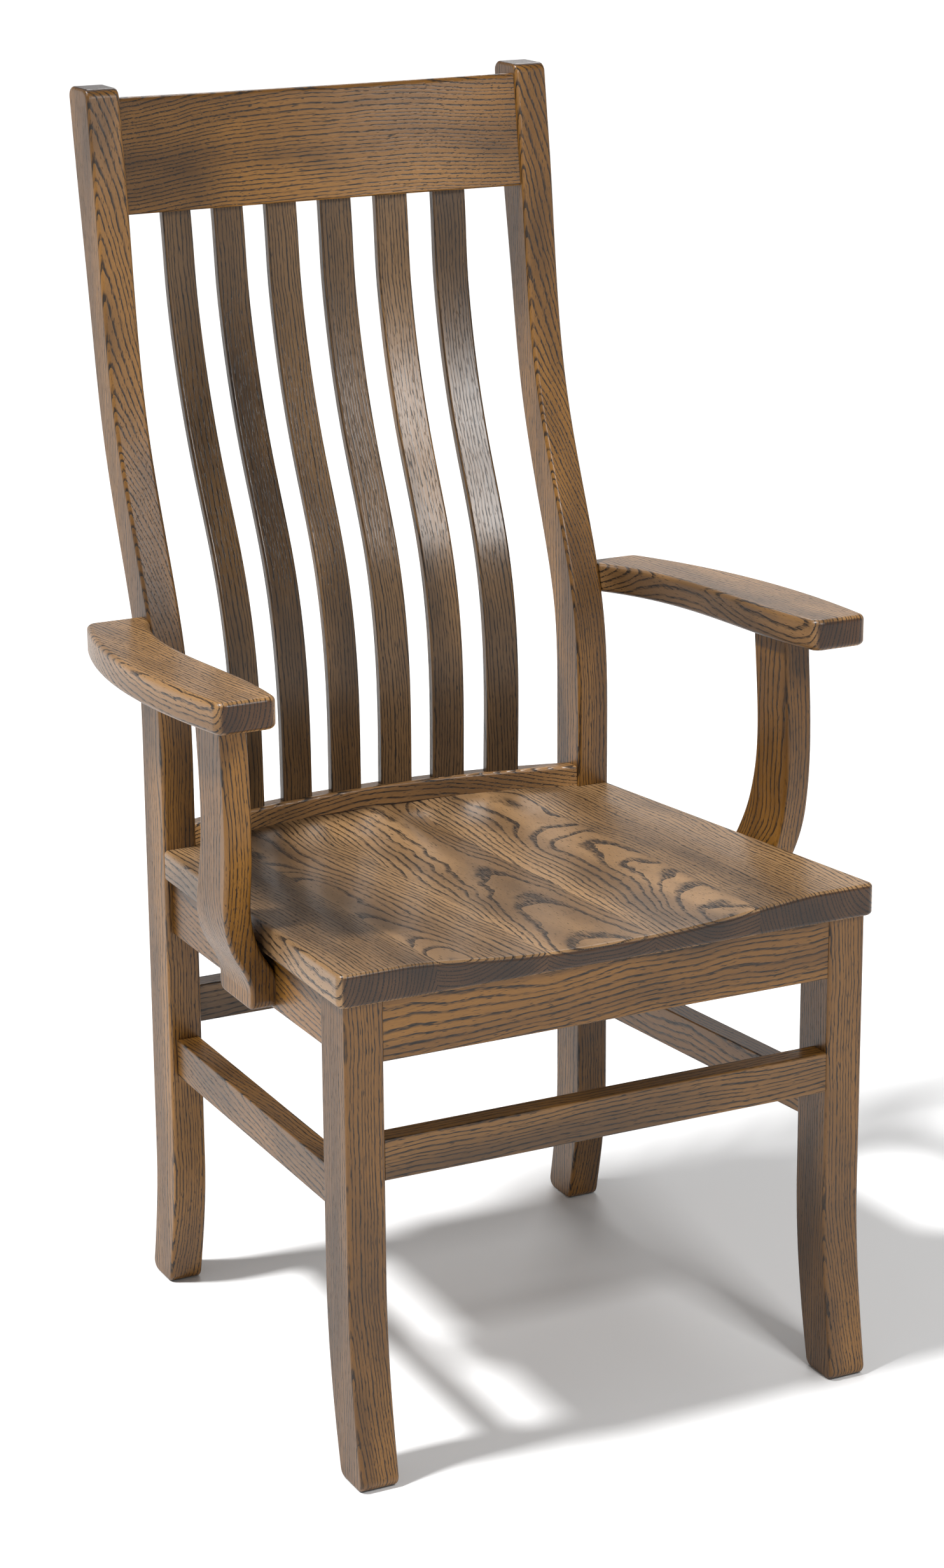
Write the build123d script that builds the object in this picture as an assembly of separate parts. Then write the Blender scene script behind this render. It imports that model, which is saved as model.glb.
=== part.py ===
"""Wooden dining armchair with a slatted back, as separate joined pieces.

Millimetres.  X is the width, -Y is the front, +Z is up.  Left (-X) and right (+X)
are as seen from the front.
The chair is first drawn with y = 0 on the front legs' front face and z = 0 on the
floor, and export_all() then centres it, so that the origin is the bottom centre
of the whole chair's box.
"""
from build123d import *
from math import atan, cos, degrees, exp, radians, sin, tan
import os

# ---------------------------------------------------------------- driving sizes
# overall heights
total_height = 1110.5          # floor to the tops of the back posts
seat_height = 460.0            # floor to the seat's front corners, on top
arm_height = 668.5             # floor to the arms' front ends, on top

# seat
seat_front_width = 511.0
seat_thickness = 29.0
seat_drop = 22.3               # how much lower the seat is at the posts than in front
seat_overhang = 6.0            # seat's front edge ahead of the front legs
seat_tail = 62.0               # seat between the posts, behind their front faces
seat_corner_radius = 8.0
seat_edge_radius = 3.8
seat_board_count = 5
seat_joint_shift = -14.0       # boards' joints, moved to the left from even spacing
dish_depth = 12.5
dish_half_width = 205.0
dish_clearance = 0.3           # cutter's height over the seat where there is no dish
dish_ridge_half_width = 24.0   # soft ridge between the two scoops, at the back
dish_ridge_length = 210.0

# posts and legs
seat_depth = 430.0             # front face of the front legs to front face of the posts
post_spacing = 460.4           # over the outer faces of the posts
post_width = 31.8
post_depth = 47.5
leg_spacing = 497.4            # over the outer faces of the front legs
leg_width = 35.6
leg_depth = 48.3
leg_edge_radius = 3.2
foot_edge_radius = 9.0
foot_flare = 20.0              # how far each foot swings out, forwards or backwards
front_flare_height = 180.0     # where the swing starts, above the floor
rear_flare_height = 130.0
post_top_radius = 9.0

# back posts' rake: (share of the height from the seat to the top, setback)
post_front_rake = [(0.10, 0.0), (0.252, 8.5), (0.393, 42.0), (0.544, 81.5), (0.695, 102.5),
                   (0.846, 114.2), (1.0, 129.0)]
post_rear_rake = [(0.12, 0.0), (0.252, 6.5), (0.393, 38.5), (0.544, 73.0), (0.695, 92.5),
                  (0.846, 110.5), (1.0, 127.4)]

# crest rail
crest_height = 104.5
crest_thickness = 24.0
crest_below_top = 8.2         # top of the crest under the tops of the posts
crest_setback = 5.5            # crest's front face behind the posts' front faces
crest_edge_radius = 4.5
crest_tilt = 8.0               # degrees, leaning back
back_bow = 36.0                # how far the middle of the back sits behind its ends

# lower back rail, which holds the slats on the seat
back_rail_height = 19.0
back_rail_thickness = 19.0
back_rail_edge_radius = 3.0
back_rail_setback = 4.5        # behind the posts' front faces

# back slats
slat_count = 6
slat_width = 31.5
slat_thickness = 10.0
slat_pitch_top = 55.4
slat_pitch_bottom = 52.4
slat_edge_radius = 2.0
# slats' lumbar curve: (share of the height from the seat to the crest, setback)
slat_curve = [(0.0, 0.0), (0.15, 0.5), (0.28, 8.0), (0.40, 25.5), (0.56, 64.5),
              (0.72, 96.5), (0.86, 113.3), (1.0, 121.5)]

# aprons under the seat and stretchers between the legs
rail_thickness = 22.0
rail_edge_radius = 1.6
apron_depth = 53.0             # below the seat's underside
apron_front_inset = 2.0
apron_side_inset = 7.8
rear_apron_setback = 15.0      # behind the posts' front faces
stretcher_height = 36.5
stretcher_inset = 1.6
front_stretcher_top = 307.7
side_stretcher_top_front = 269.5
side_stretcher_top_rear = 252.5
rear_stretcher_top = 298.0
rear_stretcher_setback = 12.0

# arms
arm_thickness = 28.0
arm_slope = 3.1                # degrees, falling to the back
arm_front_setback = 102.0      # arms' front ends behind the front legs' faces
arm_front_inner = 256.5        # distances from the chair's middle plane
arm_front_outer = 309.3
arm_widest = 318.3
arm_rear_outer = 281.0
arm_rear_inner = 247.5
arm_behind_post_face = 24.0    # arm's rear end behind the post's front face there
arm_edge_radius = 5.0
arm_corner_radius = 11.0

# arm supports
support_thickness = 25.0
support_inner = 260.5          # inner face of the upper part
support_bottom = 371.0
support_front_setback = 158.0  # front edge at the arm, behind the front legs' faces
support_depth = 57.0
support_waist_height = 510.0
support_foot_front_setback = 171.0
support_foot_depth = 71.0
support_edge_radius = 3.2
support_foot_radius = 9.0

# joints
fit_gap = 0.1                  # glue gap on each side of a tenon or dowel
end_gap = 1.0                  # room past the end of a tenon or dowel
tenon_thickness = 9.0
tenon_shoulder = 5.0           # top and bottom shoulders of a tenon
tenon_below_seat = 8.0         # tops of the aprons' tenons below the seat
leg_tenon_length = 22.0
post_tenon_length = 17.0
crest_tenon_length = 14.0
back_rail_tenon_length = 7.0
slat_tenon_length_top = 20.0
slat_tenon_length_bottom = 11.0
slat_tenon_thickness = 7.0
slat_tenon_width = 24.0
support_tenon_length = 14.0
support_tenon_thickness = 11.0
support_tenon_width = 34.0
dowel_radius = 4.0
dowel_length = 34.0

# corner blocks and screws
block_leg = 62.0               # length along each apron
block_corner_cut = 46.0        # how far it stays clear of the leg
block_height = 28.0
block_below_seat = 1.0
screw_radius = 2.0
screw_head_radius = 4.0
screw_head_height = 2.6
screw_bite = 13.0              # how far a screw goes into the second piece
block_screw_grip = 24.0        # wood under the head of a corner block's screw
back_rail_screw_spacing = 75.0

# ---------------------------------------------------------------- derived places
FAR = 2000.0
post_outer = post_spacing / 2
post_inner = post_outer - post_width
leg_outer = leg_spacing / 2
leg_inner = leg_outer - leg_width
seat_front = -seat_overhang
seat_tilt = degrees(atan(seat_drop / (seat_depth - seat_front)))
seat_rear_height = seat_height - seat_drop
back_height = total_height - seat_rear_height
crest_top = total_height - crest_below_top
crest_bottom = crest_top - crest_height * cos(radians(crest_tilt))
rail_half = rail_thickness / 2
back_half_width = post_inner
bow_radius = (back_half_width ** 2 + back_bow ** 2) / (2 * back_bow)


def seat_top_z(y):
    """Height of the seat's undished top plane."""
    return seat_height - (y - seat_front) * tan(radians(seat_tilt))


def seat_under_z(y):
    """Height of the seat's underside."""
    return seat_top_z(y) - seat_thickness / cos(radians(seat_tilt))


def arm_top_z(y):
    """Height of the arms' top faces."""
    return arm_height - (y - arm_front_setback) * tan(radians(arm_slope))


def side_line(y, inset):
    """Distance from the middle to a side rail's outer face, inset from the legs."""
    share = (y - leg_depth / 2) / (seat_depth + post_depth / 2 - leg_depth / 2)
    return (leg_outer + (post_outer - leg_outer) * share) - inset


# ---------------------------------------------------------------- small tools
def block(x0, x1, y0, y1, z0, z1):
    """A box between two corners."""
    centre = Pos((x0 + x1) / 2, (y0 + y1) / 2, (z0 + z1) / 2)
    return centre * Box(x1 - x0, y1 - y0, z1 - z0)


def tilted_halfspace(y, z, slope_degrees, above):
    """Everything above or below a plane that falls to the back."""
    side = 1 if above else -1
    return Pos(0, y, z) * Rot(X=-slope_degrees) * Pos(0, 0, side * FAR / 2) * Box(FAR, FAR, FAR)


def side_profile(outline, x0, x1):
    """A closed (y, z) outline, extruded across the chair from x0 to x1."""
    face = Plane.YZ * make_face(outline)
    return Pos(x0, 0, 0) * extrude(face, amount=x1 - x0, dir=(1, 0, 0))


def rail_frame(start, end):
    """A frame at start whose X runs to end and whose Y stays level."""
    along = (Vector(*end) - Vector(*start)).normalized()
    level = Vector(-along.Y, along.X, 0).normalized()
    return Plane(origin=start, x_dir=along, z_dir=along.cross(level)).location


def bar(start, end, thickness, height, before=0.0, after=0.0):
    """A bar from start to end, longer by before and after at its ends."""
    length = (Vector(*end) - Vector(*start)).length
    total = length + before + after
    middle = Pos(length / 2 + (after - before) / 2, 0, 0)
    return rail_frame(start, end) * middle * Box(total, thickness, height)


def tenoned_rail(start, end, height, space, tenon_start, tenon_end, trim=None):
    """A rail with a tenon at each end, and the cutter for its two mortises."""
    body = bar(start, end, rail_thickness, height, 60, 60)
    long_edges = body.edges().filter_by(lambda edge: edge.length > rail_thickness + height)
    body = fillet(long_edges, rail_edge_radius)
    body = body & space
    if trim is not None:
        body = body & trim
    tongue_height = height - 2 * tenon_shoulder
    tenon = bar(start, end, tenon_thickness, tongue_height, tenon_start, tenon_end)
    mortise = bar(start, end, tenon_thickness + 2 * fit_gap, tongue_height + 2 * fit_gap,
                  tenon_start + end_gap, tenon_end + end_gap)
    if trim is not None:
        tenon = tenon & (Pos(0, 0, -tenon_below_seat) * trim)
        mortise = mortise & (Pos(0, 0, fit_gap - tenon_below_seat) * trim)
    return body + tenon, mortise


def mirrored(shape):
    """The same piece on the other side of the chair."""
    return mirror(shape, about=Plane.YZ)


def screw(length):
    """A countersunk screw: head on the local origin, pointing along +Z."""
    rim = (screw_head_radius, 0.4)
    outline = Polyline((0, 0), (screw_head_radius, 0), rim, (screw_radius, screw_head_height),
                       (screw_radius, length - 4), (0, length), close=True)
    return revolve(Plane.XZ * make_face(outline), axis=Axis.Z)


def screw_hole(length):
    """The hole for a screw, with a counterbore for its head to go in through."""
    bore = Cylinder(screw_radius + fit_gap, length + end_gap, align=(Align.CENTER, Align.CENTER, Align.MIN))
    counterbore = Pos(0, 0, -FAR / 8) * Cylinder(screw_head_radius + fit_gap, FAR / 8 + screw_head_height,
                                                 align=(Align.CENTER, Align.CENTER, Align.MIN))
    return bore + counterbore


def dowel(gap=0.0, ends=0.0):
    """A dowel centred on the local origin, along Z."""
    return Cylinder(dowel_radius + gap, dowel_length + 2 * ends)


def placed(shape, point, direction):
    """Shape moved so that its local +Z starts at point and runs along direction."""
    return Plane(origin=point, z_dir=direction).location * shape


# ---------------------------------------------------------------- posts and legs
def rake_points(rake, base_y):
    return [(base_y + setback, seat_rear_height + share * back_height) for share, setback in rake]


def post_front_y(z):
    """Front face of the posts at a height, read off the rake between its points."""
    points = [(seat_depth, 0.0)] + rake_points(post_front_rake, seat_depth)
    for (y0, z0), (y1, z1) in zip(points, points[1:]):
        if z <= z1:
            return y0 + (y1 - y0) * (z - z0) / (z1 - z0)
    return points[-1][0]


def make_post():
    """A back post, which is also the rear leg: straight, then raked and curved."""
    front = rake_points(post_front_rake, seat_depth)
    rear = rake_points(post_rear_rake, seat_depth + post_depth)
    foot_front = (seat_depth + foot_flare, 0)
    foot_rear = (seat_depth + post_depth + foot_flare * 0.85, 0)
    front_knee = (seat_depth, rear_flare_height)
    rear_knee = (seat_depth + post_depth, rear_flare_height)
    top_slope = crest_tilt
    lean = (sin(radians(top_slope)), cos(radians(top_slope)))
    outline = Curve() + [
        Spline(foot_front, front_knee, tangents=[(-0.22, 1), (0, 1)]),
        Line(front_knee, front[0]),
        Spline(*front, tangents=[(0, 1), lean]),
        Line(front[-1], rear[-1]),
        Spline(*reversed(rear), tangents=[(-lean[0], -lean[1]), (0, -1)]),
        Line(rear[0], rear_knee),
        Spline(rear_knee, foot_rear, tangents=[(0, -1), (0.2, -1)]),
        Line(foot_rear, foot_front),
    ]
    post = side_profile(outline, post_inner, post_outer)
    top_edges = post.edges().filter_by(Axis.X).group_by(Axis.Z)[-1]
    post = fillet(top_edges, post_top_radius)
    foot_edges = post.edges().filter_by(Axis.X).group_by(Axis.Z)[0]
    post = fillet(foot_edges, foot_edge_radius)
    side_edges = post.faces().filter_by(Axis.X).edges()
    return fillet(side_edges, leg_edge_radius)


def make_front_leg():
    """A front leg, straight above and swung forwards at the foot."""
    top = seat_height
    foot_front = (-foot_flare, 0)
    foot_rear = (leg_depth - foot_flare * 1.2, 0)
    outline = Curve() + [
        Spline(foot_front, (0, front_flare_height), tangents=[(0.17, 1), (0, 1)]),
        Line((0, front_flare_height), (0, top)),
        Line((0, top), (leg_depth, top)),
        Line((leg_depth, top), (leg_depth, front_flare_height)),
        Spline((leg_depth, front_flare_height), foot_rear, tangents=[(0, -1), (-0.24, -1)]),
        Line(foot_rear, foot_front),
    ]
    leg = side_profile(outline, leg_inner, leg_outer)
    foot_edges = leg.edges().filter_by(Axis.X).group_by(Axis.Z)[0]
    leg = fillet(foot_edges, foot_edge_radius)
    side_edges = leg.faces().filter_by(Axis.X).edges()
    leg = fillet(side_edges, leg_edge_radius)
    return leg & tilted_halfspace(seat_front, seat_under_z(seat_front), seat_tilt, above=False)


# ---------------------------------------------------------------- rails
def between_legs_y():
    return block(-FAR / 2, FAR / 2, leg_depth, seat_depth, -1, FAR)


def between_x(half):
    return block(-half, half, -FAR / 2, FAR, -1, FAR)


def under_seat():
    return tilted_halfspace(seat_front, seat_under_z(seat_front), seat_tilt, above=False)


def make_side_rail(z_front, z_rear, height, inset, trim=None):
    """An apron or stretcher on the +X side, from the front leg to the post."""
    start = (side_line(leg_depth, inset) - rail_half, leg_depth, z_front)
    end = (side_line(seat_depth, inset) - rail_half, seat_depth, z_rear)
    return tenoned_rail(start, end, height, between_legs_y(), leg_tenon_length, post_tenon_length, trim)


def make_cross_rail(half, y_front, z_middle, height, tenon_length, trim=None):
    """An apron or stretcher that runs across, between two legs or two posts."""
    y = y_front + rail_half
    return tenoned_rail((-half, y, z_middle), (half, y, z_middle), height, between_x(half),
                        tenon_length, tenon_length, trim)


# ---------------------------------------------------------------- back
def bowed_band(thickness, height, half_width, top_radius, low_bevel=0.0):
    """A bowed board: front face on the arc, ends at y = 0, from z = 0 to height."""
    section = Pos(bow_radius + thickness / 2, height / 2) * Rectangle(thickness, height)
    section = fillet(section.vertices().group_by(Axis.Y)[-1], top_radius)
    if low_bevel > 0:
        section = chamfer(section.vertices().group_by(Axis.Y)[0], low_bevel)
    ring = Pos(0, back_bow - bow_radius) * revolve(Plane.XZ * section, axis=Axis.Z)
    return ring & block(-half_width, half_width, -thickness, 2 * back_bow + thickness, -1, height + 1)


def bow_setback(x):
    """How far behind its ends the bowed back sits at x, and its plan angle there."""
    drop = bow_radius - (bow_radius ** 2 - x ** 2) ** 0.5
    angle = degrees(atan(-x / (bow_radius ** 2 - x ** 2) ** 0.5))
    return back_bow - drop, angle


def crest_place():
    """The crest's own frame: its front face's lower edge, leaning back."""
    y = post_front_y(crest_bottom) + crest_setback
    return Pos(0, y, crest_bottom) * Rot(X=-crest_tilt)


def back_rail_place():
    """The lower back rail's own frame, square to the seat's top plane."""
    y = seat_depth + back_rail_setback
    return Pos(0, y, seat_top_z(y)) * Rot(X=-seat_tilt)


def make_crest():
    """The crest rail, its mortise cutter for the posts, and no slat mortises yet."""
    band = bowed_band(crest_thickness, crest_height, post_inner, crest_edge_radius, 1.4)
    middle = crest_thickness * 0.5
    low, high = 10.0, crest_height - 10.0
    reach = post_inner + crest_tenon_length
    tongue = block(-reach, reach, middle - 5, middle + 5, low, high)
    tongue = tongue - block(-post_inner + 6, post_inner - 6, -FAR, FAR, -1, FAR)
    mortise = block(-reach - end_gap, reach + end_gap, middle - 5 - fit_gap, middle + 5 + fit_gap,
                    low - fit_gap, high + fit_gap)
    place = crest_place()
    return place * (band + tongue), place * mortise


def make_back_rail():
    """The lower back rail with its short tongues, and their mortise cutter."""
    band = bowed_band(back_rail_thickness, back_rail_height, post_inner, back_rail_edge_radius)
    middle = back_rail_thickness * 0.5
    reach = post_inner + back_rail_tenon_length
    low, high = 5.0, back_rail_height - 5.0
    tongue = block(-reach, reach, middle - 4, middle + 4, low, high)
    tongue = tongue - block(-post_inner + 6, post_inner - 6, -FAR, FAR, -FAR, FAR)
    mortise = block(-reach - end_gap, reach + end_gap, middle - 4 - fit_gap, middle + 4 + fit_gap,
                    low - fit_gap, high + fit_gap)
    place = back_rail_place()
    return place * (band + tongue), place * mortise


def slat_profile(thickness, low_extra, high_extra):
    """The slats' side outline, with its front face on the lumbar curve."""
    bottom = seat_top_z(seat_depth) + back_rail_height
    span = crest_bottom - bottom
    start_y = seat_depth + back_rail_setback + (back_rail_thickness - slat_thickness) / 2
    inset = (slat_thickness - thickness) / 2
    front = [(start_y + inset + setback, bottom + share * span) for share, setback in slat_curve]
    lean = (sin(radians(crest_tilt)), cos(radians(crest_tilt)))
    top = (front[-1][0] + lean[0] * high_extra, front[-1][1] + lean[1] * high_extra)
    foot = (front[0][0], bottom - low_extra)
    curve = Curve() + [Line(foot, front[0]), Spline(*front, tangents=[(0, 1), lean]), Line(front[-1], top)]
    back = curve.moved(Location((thickness, 0, 0)))
    back_top = (top[0] + thickness, top[1])
    back_foot = (foot[0] + thickness, foot[1])
    return curve + back + Line(top, back_top) + Line(foot, back_foot)


def slat_band(outline, half_width, angle):
    """A closed (y, z) outline, extruded to both sides along the bow's line in plan."""
    along = Vector(cos(radians(angle)), sin(radians(angle)), 0)
    band = extrude(Plane.YZ * make_face(outline), amount=2 * half_width, dir=along)
    return Pos(-along * half_width) * band


def make_slat(index):
    """One back slat with its two tenons, and the cutter for their mortises."""
    offset = index - (slat_count - 1) / 2
    bottom = seat_top_z(seat_depth) + back_rail_height
    x_bottom = offset * slat_pitch_bottom
    x_top = offset * slat_pitch_top
    setback, angle = bow_setback((x_bottom + x_top) / 2)
    fan = degrees(atan((x_top - x_bottom) / (crest_bottom - bottom)))
    place = Pos(x_bottom, setback, bottom) * Rot(Y=fan) * Pos(0, 0, -bottom)
    half = slat_width / 2
    body = slat_band(slat_profile(slat_thickness, 30, 30), half, angle)
    side_edges = body.faces().filter_by(Axis.X).edges()
    body = fillet(side_edges.filter_by(lambda edge: edge.length > slat_thickness + 1), slat_edge_radius)
    tongue_half = slat_tenon_width / 2
    tongue = slat_band(slat_profile(slat_tenon_thickness, slat_tenon_length_bottom, slat_tenon_length_top),
                       tongue_half, angle)
    mortise = slat_band(slat_profile(slat_tenon_thickness + 2 * fit_gap, slat_tenon_length_bottom + end_gap,
                                     slat_tenon_length_top + end_gap),
                        tongue_half + fit_gap, angle)
    return place * body, place * tongue, place * mortise


# ---------------------------------------------------------------- seat
def dish(x, y):
    """Depth of the hollowed seat: two scoops that run out at the front."""
    across = max(0.0, 1 - abs(x / dish_half_width) ** 2.6) ** 2
    rail_y = seat_depth + back_rail_setback + back_bow * (1 - (x / back_half_width) ** 2)
    to_rail = (rail_y - y) / 95.0
    fade = min(1.0, max(0.0, to_rail + 0.30 * exp(-(x / 85.0) ** 2)))
    rear = fade * fade * (3 - 2 * fade)
    along = min(1.0, max(0.0, (y - (rail_y - dish_ridge_length)) / dish_ridge_length))
    ridge = exp(-(x / dish_ridge_half_width) ** 2) * along * along * (3 - 2 * along)
    return dish_depth * across * rear * (1 - 0.9 * ridge)


def dish_cutter():
    """Everything above the hollowed surface."""
    columns = 61
    rows = 41
    x_span = seat_front_width + 40
    y_start = seat_front - 20
    y_span = seat_depth + back_rail_setback + back_bow + 40 - y_start
    points = []
    for i in range(columns):
        x = -x_span / 2 + x_span * i / (columns - 1)
        line = []
        for j in range(rows):
            y = y_start + y_span * j / (rows - 1)
            line.append(Vector(x, y, seat_top_z(y) + dish_clearance - dish(x, max(y, seat_front))))
        points.append(line)
    surface = Face.make_surface_from_array_of_points(points)
    above = extrude(surface, amount=60, dir=(0, 0, 1))
    front_of_rail = Pos(0, seat_depth + back_rail_setback + back_bow - bow_radius, 0) * Cylinder(
        bow_radius, FAR, align=(Align.CENTER, Align.CENTER, Align.CENTER))
    return above & front_of_rail


def within_sides(front_half, rear_half):
    """Everything between two upright planes that narrow from front to back."""
    front_y, rear_y = seat_front, seat_depth
    slope = (rear_half - front_half) / (rear_y - front_y)
    y0, y1 = front_y - FAR / 4, rear_y + FAR / 4
    x0, x1 = front_half + slope * (y0 - front_y), front_half + slope * (y1 - front_y)
    outline = Polyline((-x0, y0), (x0, y0), (x1, y1), (-x1, y1), close=True)
    return extrude(make_face(outline), amount=total_height)


def make_seat():
    """The whole seat panel, before it is divided into its boards."""
    half = seat_front_width / 2
    tail_half = post_inner - fit_gap
    notch_y = seat_depth - fit_gap
    tail_y = seat_depth + seat_tail
    outline = Polyline((-half, seat_front), (half, seat_front), (post_outer, notch_y), (tail_half, notch_y),
                       (tail_half, tail_y), (-tail_half, tail_y), (-tail_half, notch_y),
                       (-post_outer, notch_y), close=True)
    panel = extrude(make_face(outline), amount=total_height)
    corners = panel.edges().filter_by(Axis.Z).group_by(Axis.Y)[0]
    panel = fillet(corners, seat_corner_radius)
    panel = panel & tilted_halfspace(seat_front, seat_height, seat_tilt, above=False)
    panel = panel & tilted_halfspace(seat_front, seat_under_z(seat_front), seat_tilt, above=True)
    panel = panel - dish_cutter()
    outer = panel.edges().filter_by(lambda edge: edge.center().Y < notch_y - 1)
    upright = outer.filter_by(Axis.Z)
    rims = ShapeList(edge for edge in outer if edge not in upright)
    return fillet(rims, seat_edge_radius)


# ---------------------------------------------------------------- arms
def arm_post_face():
    """y of the post's front face where the arm meets it."""
    return post_front_y(arm_top_z(seat_depth) - arm_thickness / 2)


def over_arm_underside():
    """Everything above the arms' underside."""
    underside = arm_height - arm_thickness / cos(radians(arm_slope))
    return tilted_halfspace(arm_front_setback, underside, arm_slope, above=True)


def make_arm():
    """The arm on the +X side, with a curved outer edge and a flat, sloping top."""
    post_face = arm_post_face()
    rear_y = post_face + arm_behind_post_face
    touch = post_outer
    length = rear_y - arm_front_setback
    outer = Spline((arm_front_outer, arm_front_setback),
                   (arm_widest, arm_front_setback + 0.36 * length),
                   (arm_widest - 12.0, arm_front_setback + 0.74 * length),
                   (arm_rear_outer, rear_y))
    inner = Spline((arm_front_inner, arm_front_setback),
                   (arm_front_inner - 3.0, arm_front_setback + 0.42 * length),
                   (arm_rear_inner, arm_front_setback + 0.77 * length),
                   (touch, post_face - 2))
    outline = Curve() + [
        outer,
        inner,
        Line((arm_front_inner, arm_front_setback), (arm_front_outer, arm_front_setback)),
        Line((touch, post_face - 2), (touch, rear_y)),
        Line((touch, rear_y), (arm_rear_outer, rear_y)),
    ]
    arm = extrude(make_face(outline), amount=total_height)
    corners = arm.edges().filter_by(Axis.Z).filter_by(lambda edge: edge.center().X > touch + 1)
    arm = fillet(corners, arm_corner_radius)
    arm = arm & tilted_halfspace(arm_front_setback, arm_height, arm_slope, above=False)
    arm = arm & over_arm_underside()
    rims = arm.faces().sort_by(Axis.Z)[-1].edges() + arm.faces().sort_by(Axis.Z)[0].edges()
    free_rims = rims.filter_by(lambda edge: edge.center().X > touch + 1)
    return fillet(free_rims, arm_edge_radius)


def arm_dowel_points():
    """Centres of the dowels between a post and its arm, on the +X side."""
    post_face = arm_post_face()
    points = []
    for share in (0.27, 0.73):
        y = post_face + 1 + share * (arm_behind_post_face - 2)
        points.append((post_outer + dowel_length * 0.1, y, arm_top_z(y) - arm_thickness / 2))
    return points


def support_clearance():
    """Everything on the inner side of the seat's edge and the side aprons' outer faces."""
    beside_seat = within_sides(seat_front_width / 2 + fit_gap, post_outer + fit_gap)
    beside_rails = within_sides(side_line(seat_front, apron_side_inset) + fit_gap,
                                side_line(seat_depth, apron_side_inset) + fit_gap)
    over_rails = tilted_halfspace(seat_front, seat_under_z(seat_front) - fit_gap, seat_tilt, above=True)
    return beside_rails + (beside_seat & over_rails)


def make_arm_support():
    """The arm support on the +X side: thin across, deep along, bent in at its foot."""
    top = arm_height
    upper_outer = support_inner + support_thickness
    foot_y = support_foot_front_setback + support_foot_depth / 2
    foot_inner = side_line(foot_y, apron_side_inset) - 3
    foot_outer = foot_inner + 2 + support_thickness
    bend_top = seat_height + 22
    bend_middle = seat_under_z(foot_y)
    bend_low = support_bottom + 16
    middle_inner = (foot_inner + support_inner) / 2
    front_view = Curve() + [
        Line((upper_outer, top), (upper_outer, bend_top)),
        Spline((upper_outer, bend_top), (middle_inner + support_thickness + 1, bend_middle),
               (foot_outer, bend_low), tangents=[(0, -1), (-0.1, -1)]),
        Line((foot_outer, bend_low), (foot_outer, support_bottom)),
        Line((foot_outer, support_bottom), (foot_inner, support_bottom)),
        Line((foot_inner, support_bottom), (foot_inner, bend_low)),
        Spline((foot_inner, bend_low), (middle_inner, bend_middle), (support_inner, bend_top),
               tangents=[(0.1, 1), (0, 1)]),
        Line((support_inner, bend_top), (support_inner, top)),
        Line((support_inner, top), (upper_outer, top)),
    ]
    front_face = Plane.XZ * make_face(front_view)
    slab = extrude(front_face, amount=FAR / 2, dir=(0, 1, 0))
    waist_front = support_front_setback - 5
    waist_rear = waist_front + support_depth
    head_front = support_front_setback + 2
    head_rear = head_front + support_depth
    foot_front = support_foot_front_setback
    foot_rear = foot_front + support_foot_depth
    side_view = Curve() + [
        Spline((foot_front, support_bottom), (waist_front, support_waist_height), (head_front, top),
               tangents=[(0, 1), (0.05, 1)]),
        Line((head_front, top), (head_rear, top)),
        Spline((head_rear, top), (waist_rear, support_waist_height), (foot_rear, support_bottom),
               tangents=[(-0.05, -1), (0, -1)]),
        Line((foot_rear, support_bottom), (foot_front, support_bottom)),
    ]
    side_slab = side_profile(side_view, leg_inner - 40, arm_widest)
    foot_corners = side_slab.edges().filter_by(Axis.X).group_by(Axis.Z)[0]
    side_slab = fillet(foot_corners, support_foot_radius)
    support = slab & side_slab
    long_edges = support.edges().filter_by(lambda edge: edge.bounding_box().size.Z > 40)
    support = fillet(long_edges, support_edge_radius)
    return (support - support_clearance()) - over_arm_underside()


def support_tongue(gap=0.0, extra=0.0):
    """The support's tenon into the arm, or with gaps its mortise."""
    middle_x = support_inner + support_thickness / 2
    middle_y = support_front_setback + 2 + support_depth / 2
    base = arm_top_z(middle_y) - arm_thickness / cos(radians(arm_slope))
    half_x = support_tenon_thickness / 2 + gap
    half_y = support_tenon_width / 2 + gap
    return block(middle_x - half_x, middle_x + half_x, middle_y - half_y, middle_y + half_y,
                 base - 8, base + support_tenon_length + extra)


def support_screws():
    """Start points of the screws that go out through the side apron into the support."""
    points = []
    for y in (support_foot_front_setback + 18, support_foot_front_setback + support_foot_depth - 18):
        points.append((side_line(y, apron_side_inset) - rail_thickness, y, support_bottom + 11))
    return points


# ---------------------------------------------------------------- corner blocks
def apron_inner(y):
    """Distance from the middle to a side apron's inner face."""
    return side_line(y, apron_side_inset) - rail_thickness - fit_gap


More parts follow.
